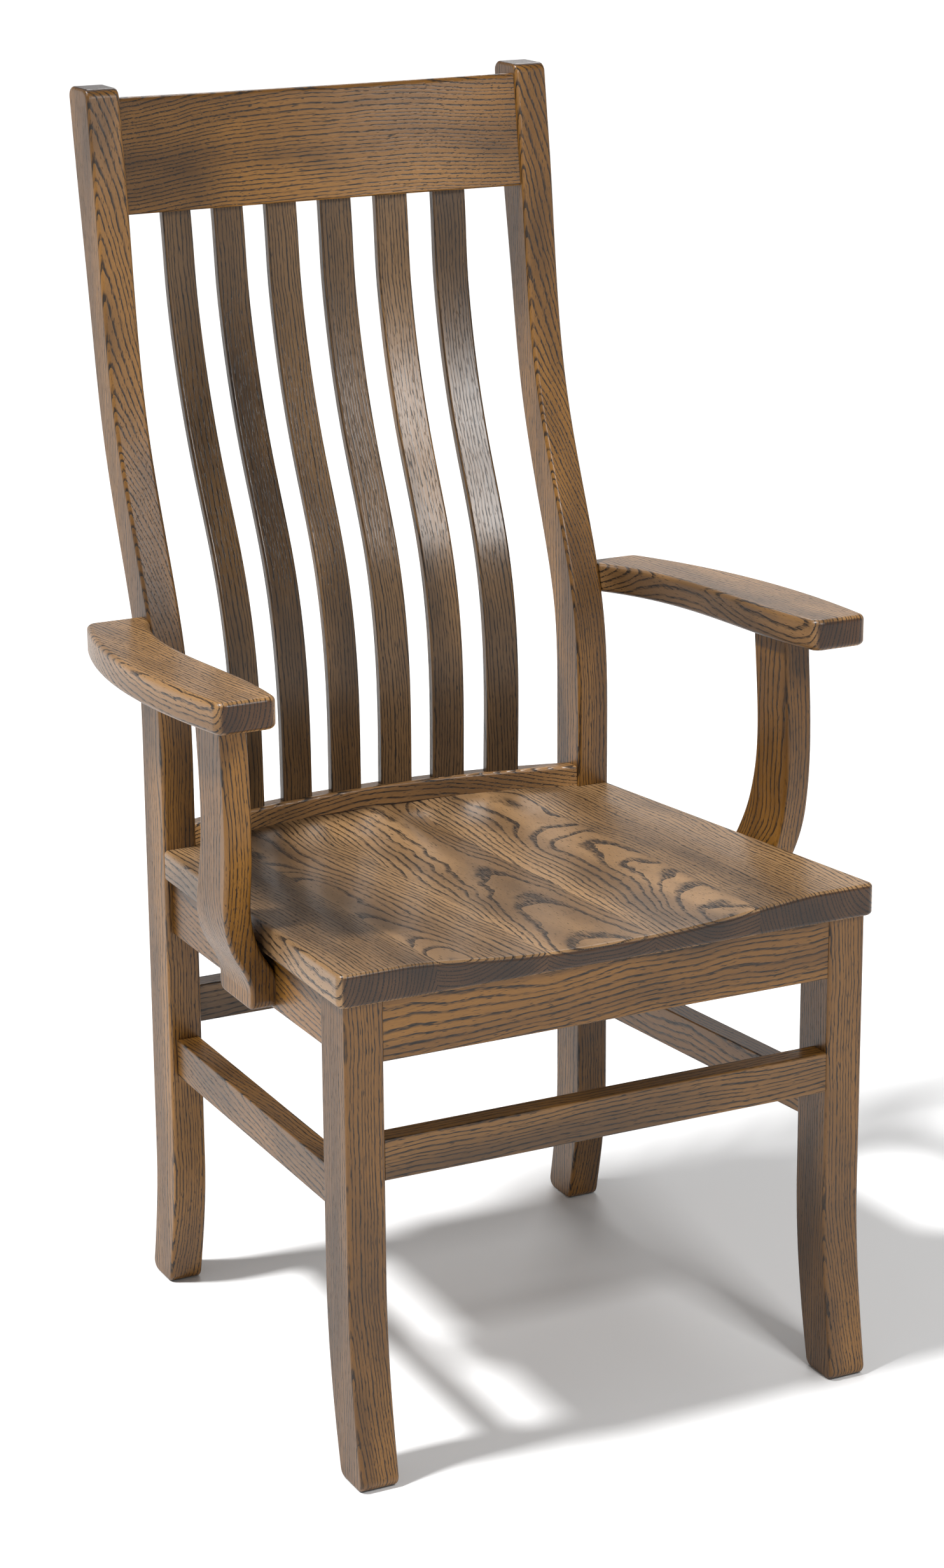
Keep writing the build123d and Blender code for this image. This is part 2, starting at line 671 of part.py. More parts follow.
class Corner:
    """A corner block on the +X side and its screws' places."""

    def __init__(self, rail_y, step):
        self.step = step
        self.rail_y = rail_y + step * fit_gap
        near_x = apron_inner(rail_y) - block_corner_cut * 0.42
        far_x = near_x - block_leg
        side_near = rail_y + step * block_corner_cut
        side_far = side_near + step * block_leg
        self.outline = [(far_x, self.rail_y), (near_x, self.rail_y), (apron_inner(side_near), side_near),
                        (apron_inner(side_far), side_far)]
        self.cross_x = near_x - block_leg * 0.5
        self.side_y = side_near + step * block_leg * 0.4
        self.seat_point = (near_x - 8, rail_y + step * block_corner_cut * 0.72)

    def solid(self):
        prism = extrude(make_face(Polyline(*self.outline, close=True)), amount=total_height)
        top_z = seat_under_z(seat_front) - block_below_seat
        prism = prism & tilted_halfspace(seat_front, top_z, seat_tilt, above=False)
        return prism & tilted_halfspace(seat_front, top_z - block_height, seat_tilt, above=True)

    def apron_screws(self):
        """(point, direction) of the screws into the cross apron and the side apron."""
        middle = block_below_seat + block_height / 2
        cross_y = self.rail_y + self.step * block_screw_grip
        side_x = apron_inner(self.side_y) - block_screw_grip
        cross = ((self.cross_x, cross_y, seat_under_z(cross_y) - middle), (0, -self.step, 0))
        side = ((side_x, self.side_y, seat_under_z(self.side_y) - middle), (1, 0, 0))
        return [cross, side]

    def seat_screw(self):
        """Start point of the screw up into the seat."""
        x, y = self.seat_point
        return x, y, seat_under_z(y) - block_below_seat - block_height


# ---------------------------------------------------------------- assembly
def make_frame():
    """Legs, posts, aprons, stretchers, crest, lower back rail and slats, by name."""
    parts = {}
    post = make_post()
    leg = make_front_leg()
    apron_height = apron_depth + 6
    to_apron_middle = apron_depth / 2 - 3
    rear_apron_y = seat_depth + rear_apron_setback
    side_apron, side_apron_mortise = make_side_rail(
        seat_under_z(leg_depth) - to_apron_middle, seat_under_z(seat_depth) - to_apron_middle,
        apron_height, apron_side_inset, under_seat())
    side_stretcher, side_stretcher_mortise = make_side_rail(
        side_stretcher_top_front - stretcher_height / 2, side_stretcher_top_rear - stretcher_height / 2,
        stretcher_height, apron_side_inset)
    front_apron, front_apron_mortise = make_cross_rail(
        leg_inner, apron_front_inset, seat_under_z(leg_depth / 2) - to_apron_middle, apron_height,
        leg_tenon_length, under_seat())
    rear_apron, rear_apron_mortise = make_cross_rail(
        post_inner, rear_apron_y, seat_under_z(rear_apron_y) - to_apron_middle, apron_height,
        post_tenon_length, under_seat())
    front_stretcher, front_stretcher_mortise = make_cross_rail(
        leg_inner, stretcher_inset, front_stretcher_top - stretcher_height / 2,
        stretcher_height, leg_tenon_length)
    rear_stretcher, rear_stretcher_mortise = make_cross_rail(
        post_inner, seat_depth + rear_stretcher_setback, rear_stretcher_top - stretcher_height / 2,
        stretcher_height, post_tenon_length)
    for mortise in (side_apron_mortise, side_stretcher_mortise, front_apron_mortise, front_stretcher_mortise):
        leg = leg - mortise
    for mortise in (side_apron_mortise, side_stretcher_mortise, rear_apron_mortise, rear_stretcher_mortise):
        post = post - mortise

    crest, crest_mortise = make_crest()
    back_rail, back_rail_mortise = make_back_rail()
    post = post - crest_mortise - back_rail_mortise
    for point in arm_dowel_points():
        post = post - placed(dowel(fit_gap, end_gap), point, (1, 0, 0))
    under_crest = crest_place() * Pos(0, 0, -FAR / 2) * Box(FAR, FAR, FAR)
    over_rail = back_rail_place() * Pos(0, 0, back_rail_height + FAR / 2) * Box(FAR, FAR, FAR)
    for index in range(slat_count):
        body, tongue, mortise = make_slat(index)
        parts[f"back_slat_{index + 1}"] = (body & under_crest & over_rail) + tongue
        crest = crest - mortise
        back_rail = back_rail - mortise

    parts["crest_rail"] = crest
    parts["lower_back_rail"] = back_rail
    parts["front_apron"] = front_apron
    parts["rear_apron"] = rear_apron
    parts["front_stretcher"] = front_stretcher
    parts["rear_stretcher"] = rear_stretcher
    for name, shape in (("rear_post", post), ("front_leg", leg), ("side_apron", side_apron),
                        ("side_stretcher", side_stretcher)):
        parts[f"{name}_right"] = shape
        parts[f"{name}_left"] = mirrored(shape)
    return parts


def drill(parts, names, hole):
    """Cut a hole in each of the named pieces."""
    for name in names:
        parts[name] = parts[name] - hole


def add_arms(parts):
    """Arms, their supports, dowels and screws, on both sides."""
    arm = make_arm() - support_tongue(fit_gap, end_gap)
    support = make_arm_support() + support_tongue()
    dowels = []
    for point in arm_dowel_points():
        arm = arm - placed(dowel(fit_gap, end_gap), point, (1, 0, 0))
        dowels.append(placed(dowel(), point, (1, 0, 0)))
    length = rail_thickness + screw_bite
    screws = []
    for point in support_screws():
        hole = placed(screw_hole(length), point, (1, 0, 0))
        support = support - hole
        drill(parts, ["side_apron_right"], hole)
        drill(parts, ["side_apron_left"], mirrored(hole))
        screws.append(placed(screw(length), point, (1, 0, 0)))
    for name, shape in (("arm", arm), ("arm_support", support)):
        parts[f"{name}_right"] = shape
        parts[f"{name}_left"] = mirrored(shape)
    parts["arm_dowels"] = Compound(dowels + [mirrored(item) for item in dowels])
    parts["arm_support_screws"] = Compound(screws + [mirrored(item) for item in screws])


def add_seat(parts):
    """Corner blocks, the seat's boards and the screws that hold them."""
    seat = make_seat()
    front = Corner(apron_front_inset + rail_thickness, 1)
    rear = Corner(seat_depth + rear_apron_setback, -1)
    apron_length = block_screw_grip + screw_bite
    seat_length = block_height + block_below_seat + screw_bite
    apron_screws = []
    seat_screws = []
    for corner, end in ((front, "front"), (rear, "rear")):
        solid = corner.solid()
        for (point, direction), apron in zip(corner.apron_screws(), (f"{end}_apron", "side_apron_right")):
            hole = placed(screw_hole(apron_length), point, direction)
            solid = solid - hole
            drill(parts, [apron], hole)
            drill(parts, [apron.replace("right", "left")], mirrored(hole))
            apron_screws.append(placed(screw(apron_length), point, direction))
        hole = placed(screw_hole(seat_length), corner.seat_screw(), (0, 0, 1))
        solid = solid - hole
        seat = seat - hole - mirrored(hole)
        seat_screws.append(placed(screw(seat_length), corner.seat_screw(), (0, 0, 1)))
        parts[f"corner_block_{end}_right"] = solid
        parts[f"corner_block_{end}_left"] = mirrored(solid)

    rail_length = seat_thickness + screw_bite - 2 * screw_head_height
    rail_screws = []
    for x in (-back_rail_screw_spacing, 0, back_rail_screw_spacing):
        y = seat_depth + back_rail_setback + bow_setback(x)[0] + back_rail_thickness / 2
        point = (x, y, seat_under_z(y) + screw_head_height)
        hole = placed(screw_hole(rail_length), point, (0, 0, 1))
        seat = seat - hole
        drill(parts, ["lower_back_rail"], hole)
        rail_screws.append(placed(screw(rail_length), point, (0, 0, 1)))

    board_width = seat_front_width / seat_board_count
    first = seat_joint_shift - seat_front_width / 2
    joints = [first + index * board_width for index in range(1, seat_board_count)]
    edges = [-seat_front_width] + joints + [seat_front_width]
    for index, (left, right) in enumerate(zip(edges, edges[1:])):
        parts[f"seat_board_{index + 1}"] = seat & block(left, right, -FAR / 2, FAR, -1, FAR)
    parts["corner_block_screws"] = Compound(apron_screws + [mirrored(item) for item in apron_screws])
    parts["seat_screws"] = Compound(seat_screws + [mirrored(item) for item in seat_screws])
    parts["back_rail_screws"] = Compound(rail_screws)


def build_chair():
    """All pieces of the chair by name."""
    parts = make_frame()
    add_arms(parts)
    add_seat(parts)
    return parts


def export_all(parts):
    """Centre the chair on its box and write one STEP file for each piece."""
    os.makedirs("parts", exist_ok=True)
    boxes = [shape.bounding_box() for shape in parts.values()]
    front = min(box.min.Y for box in boxes)
    rear = max(box.max.Y for box in boxes)
    shift = Pos(0, -(front + rear) / 2, 0)
    for name, shape in parts.items():
        export_step(shift * shape, f"parts/{name}.step")


if __name__ == "__main__":
    export_all(build_chair())
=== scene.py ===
"""Looks of the wooden armchair: stained oak, bare inner wood, zinc screws, floor, light, camera.

Metres, in the CAD model's own frame.  Colours are linear RGB, with a last 1 for opaque.
"""
import math
import random
from dataclasses import dataclass

import bpy
from mathutils import Euler, Matrix, Vector


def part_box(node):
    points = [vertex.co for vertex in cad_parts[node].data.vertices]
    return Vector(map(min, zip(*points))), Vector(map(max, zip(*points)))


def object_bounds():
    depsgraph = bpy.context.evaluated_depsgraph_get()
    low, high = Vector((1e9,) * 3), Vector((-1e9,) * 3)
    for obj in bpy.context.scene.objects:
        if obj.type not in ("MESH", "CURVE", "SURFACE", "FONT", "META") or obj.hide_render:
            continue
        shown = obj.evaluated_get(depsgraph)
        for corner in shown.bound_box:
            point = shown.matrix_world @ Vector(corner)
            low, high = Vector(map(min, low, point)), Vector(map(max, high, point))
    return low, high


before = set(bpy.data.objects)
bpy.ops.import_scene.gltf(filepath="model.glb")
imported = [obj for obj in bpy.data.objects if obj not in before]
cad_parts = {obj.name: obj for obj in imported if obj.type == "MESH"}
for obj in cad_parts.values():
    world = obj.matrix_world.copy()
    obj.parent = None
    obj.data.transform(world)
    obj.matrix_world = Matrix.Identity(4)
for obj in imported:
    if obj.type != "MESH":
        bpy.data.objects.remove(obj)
cad_low, cad_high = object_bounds()

# ---------------------------------------------------------------- stain and lacquer
# the stained wood, from the pores to the palest late wood
PORE_COLOUR = (0.0055, 0.0032, 0.0020, 1)
EARLY_COLOUR = (0.020, 0.0112, 0.0058, 1)
LATE_COLOUR = (0.130, 0.073, 0.032, 1)
PALE_COLOUR = (0.250, 0.148, 0.070, 1)
GLAZE_COLOUR = (0.44, 0.43, 0.43, 1)       # multiplies the wood where the glaze stayed thick
END_GRAIN_TINT = (0.22, 0.16, 0.10, 1)     # multiplies the wood on the ends of boards
LACQUER_ROUGHNESS = 0.37
SPECULAR_LEVEL = 0.36
COAT_WEIGHT = 0.14
COAT_ROUGHNESS = 0.20
SLAT_GLOSS = 0.09                          # how much smoother the lacquer is on the slats

# bare wood and screws
DOWEL_COLOUR = (0.52, 0.38, 0.23)
BLOCK_COLOUR = (0.42, 0.29, 0.17)
ZINC_DULL = (0.42, 0.42, 0.40, 1)
ZINC_BRIGHT = (0.62, 0.61, 0.57, 1)

# sizes in the wood
PORE_WIDTH = 0.0010
PORE_LENGTH = 0.009
DASH_WIDTH = 0.0015        # the strokes that the dark spring wood is made of
DASH_LENGTH = 0.016
BOARD_WAVE = 0.16          # length of the slow waves in the grain
RIPPLE = 0.022             # length of the small ripples in the grain
RIPPLE_DEPTH = 0.0024
SPRING_SHARE = (0.44, 0.14)    # share of a ring where its dark spring wood ends, and where it is full
BUMP_DEPTH = 0.0006

# how many times each noise changes in a metre: across the grain twice, then along it
SLOW_SPREAD = (12, 12, 1 / BOARD_WAVE)
RIPPLE_SPREAD = (26, 26, 1 / RIPPLE)
PORE_SPREAD = (1 / PORE_WIDTH, 1 / PORE_WIDTH, 1 / PORE_LENGTH)
DASH_SPREAD = (1 / DASH_WIDTH, 1 / DASH_WIDTH, 1 / DASH_LENGTH)
FIBRE_SPREAD = (2600, 2600, 90)
GLAZE_SPREAD = (9, 9, 3.2)
SHADE_SPREAD = (22, 22, 1.2)
BARE_LINE_SPREAD = (420, 420, 9)
BARE_CLOUD_SPREAD = (30, 30, 6)
ZINC_CLOUD_SCALE = 900.0

# turns a board's own grain onto the texture's Z axis
AXIS_TURN = {
    "x": Euler((0, -math.pi / 2, 0)).to_matrix(),
    "y": Euler((math.pi / 2, 0, 0)).to_matrix(),
    "z": Euler((0, 0, 0)).to_matrix(),
}
GRAIN_AXIS = {"x": (1, 0, 0), "y": (0, 1, 0), "z": (0, 0, 1)}


class Nodes:
    """Short calls for adding shader nodes to one material."""

    def __init__(self, name):
        self.material = bpy.data.materials.new(name)
        self.material.use_nodes = True
        self.tree = self.material.node_tree
        self.tree.nodes.clear()

    def add(self, kind, inputs=(), **settings):
        """A new node with its settings, and its inputs set or linked by name or number."""
        node = self.tree.nodes.new("ShaderNode" + kind)
        for key, value in settings.items():
            setattr(node, key, value)
        for key, value in dict(inputs).items():
            self.feed(node.inputs[key], value)
        return node

    def feed(self, socket, value):
        """Links another node's result to a socket, or sets the socket to a fixed value."""
        if isinstance(value, bpy.types.NodeSocket):
            self.tree.links.new(value, socket)
        else:
            socket.default_value = value

    def math(self, operation, a, b=0.0, c=0.0):
        """The result of one sum."""
        return self.add("Math", {0: a, 1: b, 2: c}, operation=operation).outputs[0]

    def noise(self, place, scale=1.0, detail=2.0, roughness=0.5):
        """Noise between 0 and 1."""
        settings = {"Vector": place, "Scale": scale, "Detail": detail, "Roughness": roughness}
        return self.add("TexNoise", settings).outputs["Fac"]

    def stretch(self, place, scales):
        """The place with each axis scaled."""
        return self.add("Mapping", {"Vector": place, "Scale": scales}).outputs[0]

    def levels(self, value, low, high, to_low=0.0, to_high=1.0):
        """A value spread from one range to another, smoothly, and kept inside it."""
        settings = {0: value, 1: low, 2: high, 3: to_low, 4: to_high}
        return self.add("MapRange", settings, interpolation_type="SMOOTHSTEP").outputs[0]

    def mix(self, share, a, b, blend="MIX"):
        """Two colours mixed."""
        node = self.add("Mix", data_type="RGBA", blend_type=blend, clamp_factor=True)
        self.feed(node.inputs[0], share)
        self.feed(node.inputs[6], a)
        self.feed(node.inputs[7], b)
        return node.outputs[2]

    def finish(self, shader):
        """The material, with the shader as its surface."""
        self.add("OutputMaterial", {"Surface": shader.outputs[0]})
        return self.material


# ---------------------------------------------------------------- materials
@dataclass
class Board:
    """How one board was cut: its grain, where the tree's heart was, and how it took the stain; its tone
    also holds painted light and shade.
    """

    grain: str              # axis the grain runs along: x, y or z
    heart: tuple            # from the heart to the board's middle, across the grain
    lean: float             # angle between heart and board, in radians, for cathedral figure
    # tone: set for each piece, partly for its stain and partly as painted light and shade, paler for light
    # falling on it and darker for shade
    tone: float             # 1 is the usual shade, less is darker
    warm: float             # 0 is greyer, 1 is more orange
    wave: float             # how far the slow waves push the rings
    ring: float             # width of one year's ring
    bend: list = None       # for bent boards, setback by height, as (z, y) pairs
    gloss: float = 0.0      # how much smoother the lacquer is than usual


def board_place(nodes, board, low, high, chance):
    """Texture place for a board: Z along the grain, with the heart as the axis X = Y = 0."""
    lean_one = Matrix.Rotation(board.lean, 3, "Y")
    lean_other = Matrix.Rotation(board.lean * chance.uniform(-1, 1), 3, "X")
    turn = lean_one @ lean_other @ AXIS_TURN[board.grain]
    along = chance.uniform(-3, 3)
    shift = Vector((board.heart[0], board.heart[1], along)) - turn @ ((low + high) / 2)
    place = nodes.add("TexCoord").outputs["Object"]
    if board.bend:
        place = straightened(nodes, place, board.bend)
    settings = {"Vector": place, "Location": shift, "Rotation": turn.to_euler()}
    return nodes.add("Mapping", settings).outputs[0]


def straightened(nodes, place, bend):
    """A bent board's places, moved as if it lay flat, so that its grain follows the bend."""
    low_z, high_z = bend[0][0], bend[-1][0]
    most = max(y for _, y in bend)
    parts = nodes.add("SeparateXYZ", {0: place})
    share = nodes.math("DIVIDE", nodes.math("SUBTRACT", parts.outputs[2], low_z), high_z - low_z)
    curve = nodes.add("FloatCurve", {"Value": share})
    points = curve.mapping.curves[0].points
    points[0].location = (0, bend[0][1] / most)
    points[1].location = (1, 1)
    for z, y in bend[1:-1]:
        points.new((z - low_z) / (high_z - low_z), y / most)
    curve.mapping.update()
    setback = nodes.math("MULTIPLY", curve.outputs[0], most)
    flat_y = nodes.math("SUBTRACT", parts.outputs[1], setback)
    return nodes.add("CombineXYZ", {0: parts.outputs[0], 1: flat_y, 2: parts.outputs[2]}).outputs[0]


def ring_share(nodes, place, wave, ring):
    """How far through its year's ring each place is, from 0 at the spring wood to 1."""
    slow = nodes.noise(nodes.stretch(place, SLOW_SPREAD), detail=1.5)
    quick = nodes.noise(nodes.stretch(place, RIPPLE_SPREAD))
    flat = nodes.add("VectorMath", {0: place, 1: (1, 1, 0)}, operation="MULTIPLY").outputs[0]
    radius = nodes.add("VectorMath", {0: flat}, operation="LENGTH").outputs["Value"]
    radius = nodes.math("MULTIPLY_ADD", nodes.math("SUBTRACT", slow, 0.5), wave * 2, radius)
    radius = nodes.math("MULTIPLY_ADD", nodes.math("SUBTRACT", quick, 0.5), RIPPLE_DEPTH, radius)
    years = nodes.math("DIVIDE", radius, ring)
    good_and_bad_years = nodes.noise(nodes.add("CombineXYZ", {0: years}).outputs[0], 0.23, 1.0)
    years = nodes.math("MULTIPLY_ADD", good_and_bad_years, 2.6, years)
    return nodes.math("FRACT", years)


def pore_share(nodes, place, spring):
    """How much of each place is an open pore: thin strokes, crowded in the spring wood."""
    streaks = nodes.noise(nodes.stretch(place, PORE_SPREAD), detail=1.0)
    threshold = nodes.math("MULTIPLY_ADD", spring, -0.14, 0.64)
    pores = nodes.math("SMOOTH_MAX", nodes.math("SUBTRACT", streaks, threshold), 0.0, 0.02)
    return nodes.math("MINIMUM", nodes.math("MULTIPLY", pores, 9.0), 1.0)


def board_tint_and_painted_light(board):
    """The colour that makes a board darker or paler, and greyer or more orange, than usual; the darker or
    paler part is partly stain and partly painted light and shade.
    """
    warmth = (0.94 + 0.12 * board.warm, 1.0 - 0.14 * board.warm, 1.1 - 0.65 * board.warm)
    return tuple(board.tone * part for part in warmth) + (1,)


def end_grain_share(nodes, board):
    """1 on the ends of a board and 0 on its long faces."""
    normal = nodes.add("TexCoord").outputs["Normal"]
    settings = {0: normal, 1: GRAIN_AXIS[board.grain]}
    facing = nodes.add("VectorMath", settings, operation="DOT_PRODUCT").outputs["Value"]
    return nodes.levels(nodes.math("ABSOLUTE", facing), 0.70, 0.93)


def oak(name, board, low, high, seed):
    """Ring-porous oak, stained brown, glazed and lacquered, cut as the board says."""
    nodes = Nodes(name)
    place = board_place(nodes, board, low, high, random.Random(seed))
    spring = nodes.levels(ring_share(nodes, place, board.wave, board.ring), *SPRING_SHARE)
    pores = pore_share(nodes, place, spring)
    dashes = nodes.noise(nodes.stretch(place, DASH_SPREAD), detail=1.0)
    fibres = nodes.noise(nodes.stretch(place, FIBRE_SPREAD), detail=1.0)
    glaze = nodes.noise(nodes.stretch(place, GLAZE_SPREAD), detail=3.0, roughness=0.6)
    shade = nodes.noise(nodes.stretch(place, SHADE_SPREAD))

    colour = nodes.mix(nodes.levels(shade, 0.3, 0.7), LATE_COLOUR, PALE_COLOUR)
    dashed = nodes.math("MULTIPLY", spring, nodes.levels(dashes, 0.37, 0.54, 0.30, 0.97))
    colour = nodes.mix(dashed, colour, EARLY_COLOUR)
    colour = nodes.mix(nodes.math("MULTIPLY", pores, 0.92), colour, PORE_COLOUR)
    colour = nodes.mix(nodes.levels(fibres, 0.35, 0.75, 0.0, 0.22), colour, EARLY_COLOUR)
    colour = nodes.mix(nodes.levels(glaze, 0.44, 0.68, 0.0, 0.92), colour, GLAZE_COLOUR, "MULTIPLY")
    # the board's tone, partly stain and partly painted light and shade
    colour = nodes.mix(1.0, colour, board_tint_and_painted_light(board), "MULTIPLY")
    end_colour = nodes.mix(1.0, colour, END_GRAIN_TINT, "MULTIPLY")
    colour = nodes.mix(end_grain_share(nodes, board), colour, end_colour)

    height = nodes.math("MULTIPLY_ADD", pores, -1.0, nodes.math("MULTIPLY", spring, -0.35))
    bump = nodes.add("Bump", {"Height": height, "Strength": 0.28, "Distance": BUMP_DEPTH})
    smoothest = LACQUER_ROUGHNESS - 0.05 - board.gloss
    dull = nodes.math("MULTIPLY_ADD", nodes.math("ADD", pores, glaze), 0.14, smoothest)
    shader = nodes.add("BsdfPrincipled", {
        "Base Color": colour, "Roughness": dull, "Normal": bump.outputs[0],
        "Specular IOR Level": SPECULAR_LEVEL,
        "Coat Weight": COAT_WEIGHT, "Coat Roughness": COAT_ROUGHNESS,
    })
    return nodes.finish(shader)


def bare_wood(name, grain, colour):
    """Unfinished wood for what stays inside: blocks and dowels."""
    nodes = Nodes(name)
    settings = {"Vector": nodes.add("TexCoord").outputs["Object"], "Rotation": AXIS_TURN[grain].to_euler()}
    place = nodes.add("Mapping", settings).outputs[0]
    lines = nodes.noise(nodes.stretch(place, BARE_LINE_SPREAD))
    cloud = nodes.noise(nodes.stretch(place, BARE_CLOUD_SPREAD))
    pale = tuple(colour) + (1,)
    dark = tuple(0.62 * part for part in colour) + (1,)
    shade = nodes.math("MULTIPLY_ADD", cloud, 0.4, nodes.math("MULTIPLY", lines, 0.6))
    mixed = nodes.mix(nodes.levels(shade, 0.35, 0.68), dark, pale)
    bump = nodes.add("Bump", {"Height": lines, "Strength": 0.25, "Distance": 0.0004})
    settings = {"Base Color": mixed, "Roughness": 0.72, "Normal": bump.outputs[0]}
    return nodes.finish(nodes.add("BsdfPrincipled", settings))


def zinc(name):
    """Zinc-plated screw steel with dull patches."""
    nodes = Nodes(name)
    cloud = nodes.noise(nodes.add("TexCoord").outputs["Object"], ZINC_CLOUD_SCALE, 3.0)
    colour = nodes.mix(nodes.levels(cloud, 0.35, 0.7), ZINC_DULL, ZINC_BRIGHT)
    rough = nodes.levels(cloud, 0.3, 0.7, 0.28, 0.48)
    settings = {"Base Color": colour, "Roughness": rough, "Metallic": 1.0}
    return nodes.finish(nodes.add("BsdfPrincipled", settings))


# ---------------------------------------------------------------- boards
BEND_STEPS = 8              # heights at which a slat's bend is read
# the slats' tones are partly stain and partly painted light and shade, set slat by slat
SLAT_TONES_AND_PAINTED_LIGHT = (0.55, 0.62, 0.66, 0.58, 0.76, 0.56)      # left to right
# each seat board, left to right: heart to board across the seat, then upwards, and lean
SEAT_CUTS = ((0.100, 0.045, 0.012), (0.030, 0.095, 0.020), (-0.012, 0.110, -0.016),
             (-0.022, 0.100, 0.022), (-0.090, 0.060, 0.014))


def slat_bend(node):
    """A slat's setback at a few heights, read from its own mesh."""
    low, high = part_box(node)
    step = (high.z - low.z) / BEND_STEPS
    places = [vertex.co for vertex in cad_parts[node].data.vertices]
    bend = []
    for index in range(BEND_STEPS + 1):
        level = low.z + (high.z - low.z) * index / BEND_STEPS
        near = [place.y for place in places if abs(place.z - level) < step]
        bend.append((level, sum(near) / len(near)))
    start = min(y for _, y in bend)
    return [(z, y - start) for z, y in bend]


def seat_board(index):
    """The cut of one seat board, counted from the left."""
    across, up, lean = SEAT_CUTS[index - 1]
    return Board("y", (across, up), lean, tone=1.30, warm=0.30, wave=0.010, ring=0.0036)


def back_slat(index, node):
    """The cut of one back slat, counted from the left."""
    heart = (0.06 + 0.01 * index, 0.03)
    return Board("z", heart, 0.012, SLAT_TONES_AND_PAINTED_LIGHT[index - 1], warm=0.55, wave=0.007, ring=0.0030,
                 bend=slat_bend(node), gloss=SLAT_GLOSS)


# grain, heart, lean, tone with painted light and shade, warm, wave, ring
FRAME_BOARDS = {
    "crest_rail": Board("x", (0.120, 0.030), 0.022, 0.90, 1.25, 0.006, 0.0036),
    # the lower back rail's high tone is painted light, for the light falling on its front face
    "lower_back_rail": Board("x", (0.06, 0.05), 0.02, 2.1, 0.6, 0.008, 0.0034),
    # the front apron's, legs' and posts' tones below 1 are partly painted shade on their upright faces
    "front_apron": Board("x", (0.05, 0.06), 0.04, 0.80, 1.3, 0.012, 0.0040),
    "rear_apron": Board("x", (0.04, 0.05), 0.03, 0.9, 0.5, 0.010, 0.0045),
    "front_stretcher": Board("x", (0.07, 0.05), 0.02, 0.72, 1.1, 0.008, 0.0034),
    "rear_stretcher": Board("x", (0.05, 0.05), 0.02, 0.85, 0.5, 0.008, 0.0038),
    "rear_post": Board("z", (0.07, 0.10), 0.012, 0.92, 1.2, 0.006, 0.0030),
    "front_leg": Board("z", (0.08, 0.07), 0.008, 0.94, 1.2, 0.005, 0.0028),
    "side_apron": Board("y", (0.06, 0.05), 0.04, 0.92, 1.4, 0.010, 0.0042),
    "side_stretcher": Board("y", (0.06, 0.04), 0.02, 0.90, 1.2, 0.008, 0.0036),
    "arm": Board("y", (0.09, 0.035), 0.02, 1.34, 0.6, 0.008, 0.0036),
    "arm_support": Board("z", (0.09, 0.06), 0.015, 0.98, 1.3, 0.007, 0.0034),
}


def board_of(node):
    """The way each stained piece was cut from its board."""
    if node.startswith("seat_board"):
        return seat_board(int(node[-1]))
    if node.startswith("back_slat"):
        return back_slat(int(node[-1]), node)
    return FRAME_BOARDS[node.removesuffix("_left").removesuffix("_right")]


def material_of(node, seed):
    """The material of one CAD node."""
    if node.endswith("screws"):
        return zinc(node + "_zinc")
    if node.endswith("dowels"):
        return bare_wood(node + "_wood", "x", DOWEL_COLOUR)
    if node.startswith("corner_block"):
        return bare_wood(node + "_wood", "x", BLOCK_COLOUR)
    return oak(node + "_oak", board_of(node), *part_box(node), seed)


for seed, (name, piece) in enumerate(sorted(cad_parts.items())):
    material = material_of(name, seed)
    piece.data.materials.clear()
    piece.data.materials.append(material)


# ---------------------------------------------------------------- floor, light and camera
FLOOR_RADIUS = 60
FLOOR_SHADES = ((0.86, 0.86, 0.86, 1), (0.90, 0.90, 0.90, 1))
ROOM_STRENGTH = 0.22            # light from above the horizon
HORIZON_STRENGTH = 0.92
HORIZON_FADE = (0.16, 0.26)     # sines of the heights between which the horizon's light fades
CHAIR_MIDDLE = (0, 0, 0.6)

# the camera: degrees, metres from the middle of the chair's front edge on the floor, and millimetres
CAMERA_YAW = 26.536
CAMERA_PITCH = 17.004
CAMERA_ROLL = 0.417
CAMERA_OFFSET = (-1.40764, -2.5375, 1.47705)
CAMERA_LENS = 84.72
CAMERA_SENSOR = 36.0


def make_floor():
    """A wide pale floor."""
    bpy.ops.mesh.primitive_circle_add(
        vertices=96, radius=FLOOR_RADIUS, fill_type="NGON", location=(0, 0, cad_low.z))
    floor = bpy.context.object
    floor.name = "floor"
    nodes = Nodes("floor_paint")
    cloud = nodes.noise(nodes.add("TexCoord").outputs["Object"], 3.0, 3.0)
    shader = nodes.add("BsdfPrincipled", {"Base Color": nodes.mix(cloud, *FLOOR_SHADES), "Roughness": 0.8})
    floor.data.materials.append(nodes.finish(shader))


def add_light(name, kind, place, aim, power):
    """A new light of one kind at a place, aimed at a point, and its settings."""
    data = bpy.data.lights.new(name, kind)
    data.energy = power
    light = bpy.data.objects.new(name, data)
    light.location = place
    light.rotation_euler = (Vector(aim) - Vector(place)).to_track_quat("-Z", "Y").to_euler()
    bpy.context.scene.collection.objects.link(light)
    return data


def make_soft_box(name, place, aim, size, watts):
    """A square soft box at a place, aimed at a point."""
    data = add_light(name, "AREA", place, aim, watts)
    data.shape = "SQUARE"
    data.size = size


def make_sun(toward, strength, degrees_wide):
    """A soft sun, seen from the chair in one direction."""
    data = add_light("sun", "SUN", toward, (0, 0, 0), strength)
    data.angle = math.radians(degrees_wide)


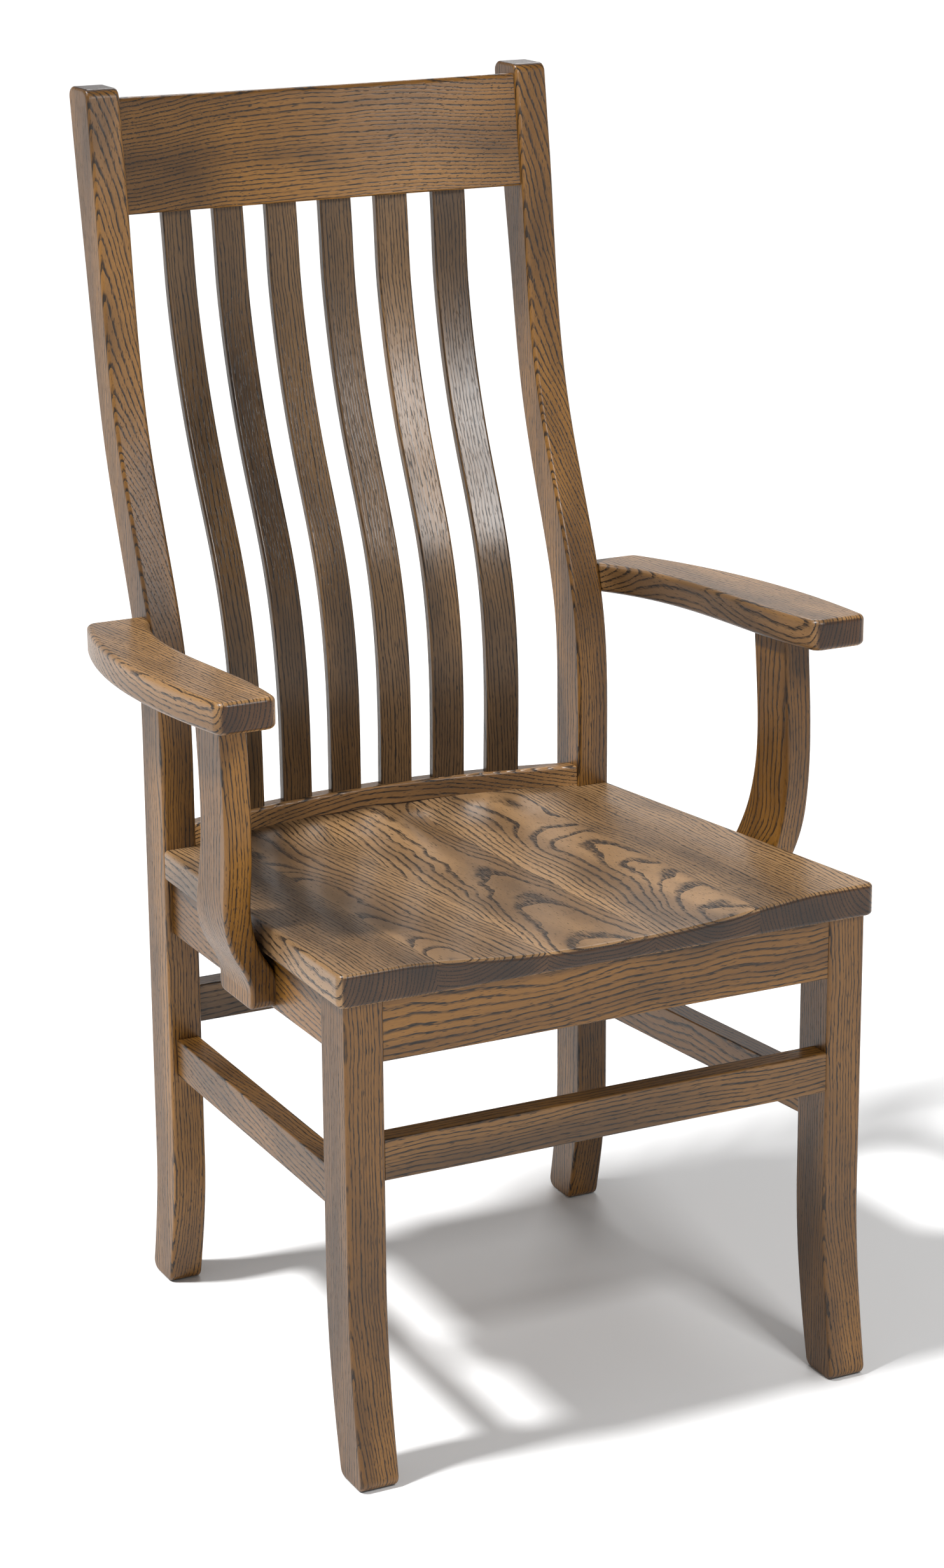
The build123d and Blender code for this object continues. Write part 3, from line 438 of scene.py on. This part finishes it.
def make_camera():
    """The camera, in front of the chair and to its left, turned by yaw, pitch and roll."""
    yaw, pitch, roll = map(math.radians, (CAMERA_YAW, CAMERA_PITCH, CAMERA_ROLL))
    ahead = Vector((math.sin(yaw) * math.cos(pitch), math.cos(yaw) * math.cos(pitch), -math.sin(pitch)))
    level = Vector((math.cos(yaw), -math.sin(yaw), 0))
    up = level.cross(ahead)
    right = level * math.cos(roll) - up * math.sin(roll)
    above = level * math.sin(roll) + up * math.cos(roll)
    data = bpy.data.cameras.new("camera")
    data.lens = CAMERA_LENS
    data.sensor_width = CAMERA_SENSOR
    camera = bpy.data.objects.new("camera", data)
    place = Vector((0, cad_low.y, cad_low.z)) + Vector(CAMERA_OFFSET)
    turn = Matrix((right, above, -ahead)).transposed().to_4x4()
    camera.matrix_world = Matrix.Translation(place) @ turn
    bpy.context.scene.collection.objects.link(camera)
    bpy.context.scene.camera = camera


def make_world():
    """Pale light from all round, brighter at the horizon."""
    world = bpy.data.worlds.new("studio")
    world.use_nodes = True
    tree = world.node_tree
    direction = tree.nodes.new("ShaderNodeTexCoord").outputs["Generated"]
    parts = tree.nodes.new("ShaderNodeSeparateXYZ")
    tree.links.new(direction, parts.inputs[0])
    fade = tree.nodes.new("ShaderNodeMapRange")
    fade.interpolation_type = "SMOOTHSTEP"
    for index, value in enumerate((*HORIZON_FADE, HORIZON_STRENGTH, ROOM_STRENGTH), start=1):
        fade.inputs[index].default_value = value
    tree.links.new(parts.outputs[2], fade.inputs[0])
    background = tree.nodes["Background"]
    background.inputs["Color"].default_value = (1, 1, 1, 1)
    tree.links.new(fade.outputs[0], background.inputs["Strength"])
    bpy.context.scene.world = world


make_floor()
make_world()
make_sun((-0.47, 0.04, 0.88), strength=3.9, degrees_wide=7)
make_soft_box("front_box", (0.28, -1.95, 2.05), aim=(0.1, 0.1, 0.85), size=0.5, watts=30)
make_soft_box("rear_rim", (1.2, 2.2, 2.6), aim=CHAIR_MIDDLE, size=1.2, watts=22)
make_camera()
bpy.context.scene.view_settings.view_transform = "Standard"
